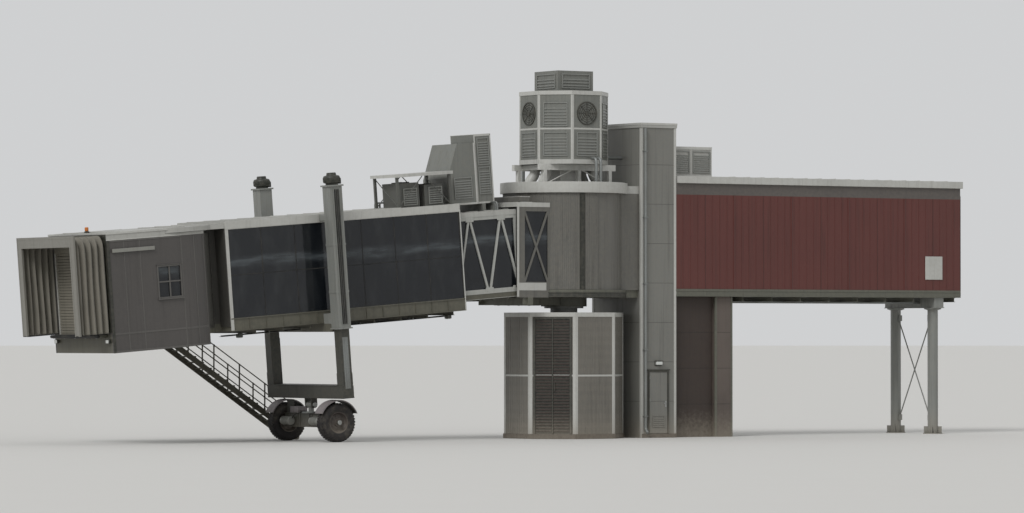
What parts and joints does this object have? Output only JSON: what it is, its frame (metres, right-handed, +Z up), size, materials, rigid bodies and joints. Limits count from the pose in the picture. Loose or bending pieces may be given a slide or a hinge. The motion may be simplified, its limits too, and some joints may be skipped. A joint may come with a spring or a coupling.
{
  "type": "jet bridge",
  "caption": "Apron drive passenger boarding bridge: round end room with tower and link, telescoping glazed tunnels, turning cab, lift columns and steered wheels.",
  "frame": {"origin": "on the ground under the middle of the rotunda column", "axes": "+Z up, +X along the fixed link away from the cab"},
  "size_m": [34.9612, 5.79, 12.15],
  "materials": {
    "wall_paint": "satin",
    "roof_paint": "satin",
    "steel_paint": "satin",
    "beam_paint": "satin",
    "cab_paint": "satin",
    "dark_steel": "satin",
    "duct_metal": "satin",
    "link_red": "satin",
    "pier_brown": "matte",
    "tinted_glass": "gloss",
    "canopy_fabric": "matte",
    "shutter_paint": "satin",
    "tyre_rubber": "matte"
  },
  "bodies": {
    "base": {"rotunda_column": "steel_paint", "column_cladding": "wall_paint", "rotunda_floor": "beam_paint", "rotunda_roof": "roof_paint", "rotunda_walls": "wall_paint", "roof_unit_frame": "duct_metal", "roof_unit": "steel_paint", "tower_side_walls": "wall_paint", "tower_end_walls": "wall_paint", "tower_roof": "roof_paint", "link_floor": "beam_paint", "link_roof": "roof_paint", "link_near_wall": "link_red", "link_far_wall": "link_red", "link_pier": "pier_brown", "link_support": "steel_paint", "link_roof_unit": "steel_paint"},
    "swing": {"swing_frame": "beam_paint", "swing_hood": "wall_paint", "swing_glass": "tinted_glass", "swing_curtains": "steel_paint"},
    "middle": {"middle_curtains": "steel_paint"},
    "tunnel_a": {"a_floor": "beam_paint", "a_roof": "roof_paint", "a_near_side": "roof_paint", "a_far_side": "roof_paint", "a_glass": "tinted_glass", "a_roof_unit": "steel_paint"},
    "tunnel_b": {"b_floor": "beam_paint", "b_roof": "roof_paint", "b_near_side": "beam_paint", "b_far_side": "beam_paint", "b_glass": "tinted_glass", "b_roof_rack": "duct_metal", "bubble_floor": "beam_paint", "bubble_roof": "roof_paint", "bubble_walls": "wall_paint", "lift_columns": "steel_paint", "column_heads": "dark_steel", "landing": "dark_steel", "landing_door": "cab_paint"},
    "bubble_middle": {"bubble_curtains": "cab_paint"},
    "cab": {"cab_floor": "beam_paint", "cab_roof": "roof_paint", "cab_near_wall": "cab_paint", "cab_far_wall": "cab_paint", "cab_window": "tinted_glass", "cab_shutter": "shutter_paint", "canopy_bellows": "canopy_fabric", "canopy_hoop": "roof_paint"},
    "legs": {"lift_legs": "dark_steel"},
    "saddle": {"bogie_saddle": "steel_paint"},
    "bogie": {"bogie_frame": "dark_steel"},
    "near_wheel_body": {"near_wheel": "tyre_rubber"},
    "far_wheel_body": {"far_wheel": "tyre_rubber"},
    "stair_body": {"stair": "dark_steel"}
  },
  "joints": [
    {"name": "rotunda_swing", "type": "hinge", "parent": "base", "child": "swing", "pos_m": [0, 0, 4.9], "axis": [0, 0, 1], "range_deg": [-45, 45]},
    {"name": "middle_swing", "type": "hinge", "parent": "base", "child": "middle", "pos_m": [0, 0, 4.9], "axis": [0, 0, 1], "range_deg": [-23, 23]},
    {"name": "tunnel_pitch", "type": "hinge", "parent": "swing", "child": "tunnel_a", "pos_m": [-2.4, 0, 4.8], "axis": [0, 1, 0], "range_deg": [-1.5, 7]},
    {"name": "tunnel_extend", "type": "slide", "parent": "tunnel_a", "child": "tunnel_b", "axis": [-0.9969, 0, -0.0785], "range_m": [0, 5]},
    {"name": "bubble_middle_swing", "type": "hinge", "parent": "tunnel_b", "child": "bubble_middle", "pos_m": [-15.35993, 0, 3.78003], "axis": [-0.0785, 0, 0.9969], "range_deg": [-15.5, 15.5]},
    {"name": "cab_swing", "type": "hinge", "parent": "tunnel_b", "child": "cab", "pos_m": [-15.35993, 0, 3.78003], "axis": [-0.0785, 0, 0.9969], "range_deg": [-30, 30]},
    {"name": "lift", "type": "slide", "parent": "tunnel_b", "child": "legs", "axis": [0.0785, 0, -0.9969], "range_m": [-0.2, 0.93]},
    {"name": "bogie_trim", "type": "hinge", "parent": "legs", "child": "saddle", "pos_m": [-9.7386, 0, 1.18], "axis": [0, 1, 0], "range_deg": [-8, 2.5]},
    {"name": "bogie_steer", "type": "hinge", "parent": "saddle", "child": "bogie", "pos_m": [-9.7386, 0, 0.9], "axis": [0, 0, 1], "range_deg": [-90, 90]},
    {"name": "near_wheel_roll", "type": "hinge", "parent": "bogie", "child": "near_wheel_body", "pos_m": [-9.7386, -1.55, 0.625], "axis": [0, 1, 0], "continuous": true},
    {"name": "far_wheel_roll", "type": "hinge", "parent": "bogie", "child": "far_wheel_body", "pos_m": [-9.7386, 1.55, 0.625], "axis": [0, 1, 0], "continuous": true},
    {"name": "stair_fold", "type": "hinge", "parent": "tunnel_b", "child": "stair_body", "pos_m": [-14.14401, 2.905, 3.62495], "axis": [0, 1, 0], "range_deg": [-2, 9]}
  ],
  "couplings": [
    {"joint": "middle_swing", "follows": "rotunda_swing", "ratio": 0.5},
    {"joint": "bubble_middle_swing", "follows": "cab_swing", "ratio": 0.5},
    {"joint": "lift", "follows": "tunnel_pitch", "m_per_rad": 7.54},
    {"joint": "bogie_trim", "follows": "tunnel_pitch", "ratio": -1},
    {"joint": "stair_fold", "follows": "tunnel_pitch", "ratio": 1.25}
  ]
}
